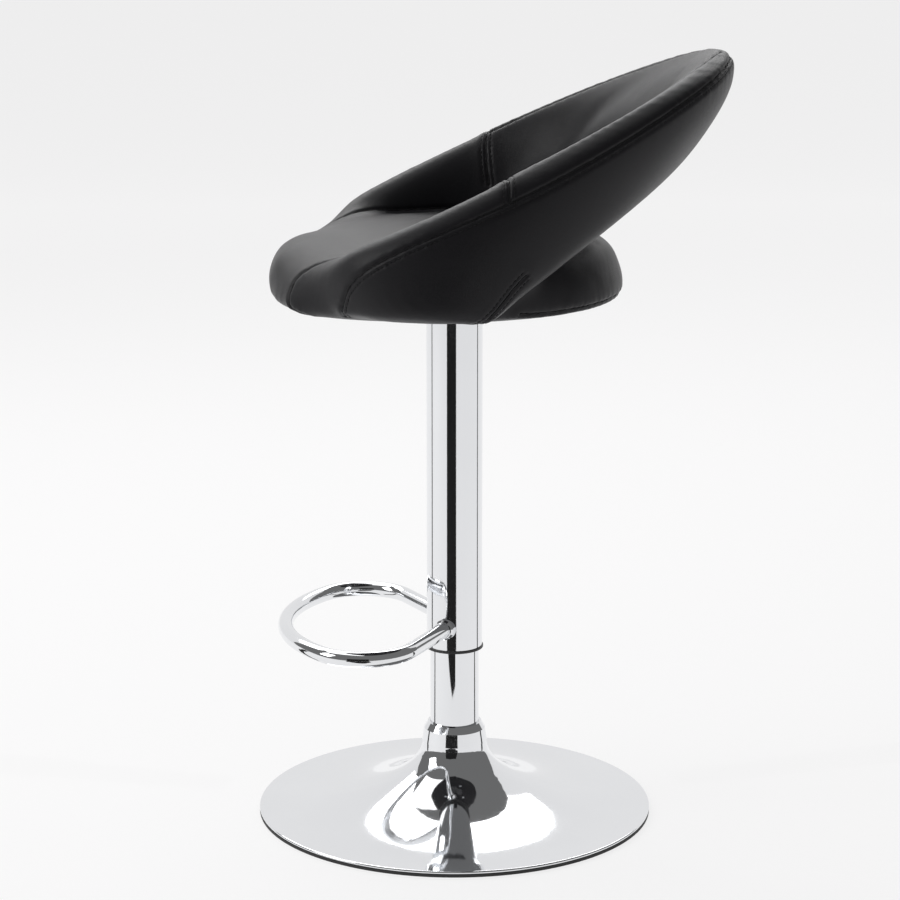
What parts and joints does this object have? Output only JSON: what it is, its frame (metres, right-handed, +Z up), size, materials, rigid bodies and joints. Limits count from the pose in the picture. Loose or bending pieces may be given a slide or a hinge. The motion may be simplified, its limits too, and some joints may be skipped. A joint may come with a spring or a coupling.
{
  "type": "bar stool",
  "caption": "Height-adjustable stool: trumpet disc base, gas-lift column, bent-tube footrest and a round padded seat with a low wrap-round back.",
  "frame": {"origin": "centre of the floor face of the base, on the column's axis", "axes": "+Z up along the column; the seat faces -Y; +X is the sitter's left"},
  "size_m": [0.45, 0.4784, 0.7822],
  "materials": {
    "chrome": "mirror chrome",
    "leatherette": "black leatherette, fine grain, satin",
    "black_rubber": "moulded rubber",
    "black_plastic": "moulded black plastic",
    "nylon": "natural nylon",
    "black_steel": "black powder coat",
    "plain_steel": "bright turned steel",
    "zinc_steel": "zinc plated",
    "iron": "rough casting",
    "plywood": "birch plywood",
    "felt": "non-woven cloth"
  },
  "bodies": {
    "base": {"base_dome": "chrome", "base_edge_ring": "black_rubber", "ballast_weight": "iron", "hub_flange": "plain_steel", "base_screws": "zinc_steel", "base_collar": "chrome", "stand_tube": "chrome", "tube_end_plate": "plain_steel", "guide_bushing": "nylon", "bearing_washer": "plain_steel", "bearing_cage": "nylon", "bearing_balls": "plain_steel"},
    "rod": {"piston_rod": "plain_steel", "rod_clip": "plain_steel", "upper_washer": "plain_steel", "piston": "plain_steel", "piston_seal": "black_rubber"},
    "seat": {"gas_cylinder": "black_steel", "cylinder_gland": "nylon", "sleeve": "chrome", "sleeve_ring": "black_plastic", "sleeve_cap": "black_plastic", "footrest_loop": "chrome", "footrest_rosettes": "chrome", "seat_plate": "black_steel", "taper_socket": "black_steel", "lever_bracket": "black_steel", "lever_pin": "zinc_steel", "plate_screws": "zinc_steel", "tee_nuts": "zinc_steel", "dust_cover": "felt", "seat_board": "plywood", "frame_hoop": "black_steel", "frame_feet": "black_steel", "foot_screws": "zinc_steel", "seat_pad": "leatherette", "back_band": "leatherette", "zip_slider": "zinc_steel"},
    "lever": {"lever_rod": "chrome", "lever_grip": "black_plastic"},
    "valve": {"release_pin": "plain_steel"}
  },
  "joints": [
    {"name": "swivel", "type": "hinge", "parent": "base", "child": "rod", "pos_m": [0, 0, 0.024], "axis": [0, 0, 1], "continuous": true},
    {"name": "lift", "type": "slide", "parent": "rod", "child": "seat", "axis": [0, 0, 1], "range_m": [0, 0.21]},
    {"name": "lever_lift", "type": "hinge", "parent": "seat", "child": "lever", "pos_m": [-0.032, 0, 0.5303], "axis": [0, 1, 0], "range_deg": [0, 5], "stiffness_Nm_per_rad": 5, "springref_deg": -5.73},
    {"name": "valve_press", "type": "slide", "parent": "seat", "child": "valve", "axis": [0, 0, -1], "range_m": [0, 0.0029]}
  ],
  "couplings": [
    {"joint": "valve_press", "follows": "lever_lift", "m_per_rad": 0.032}
  ]
}
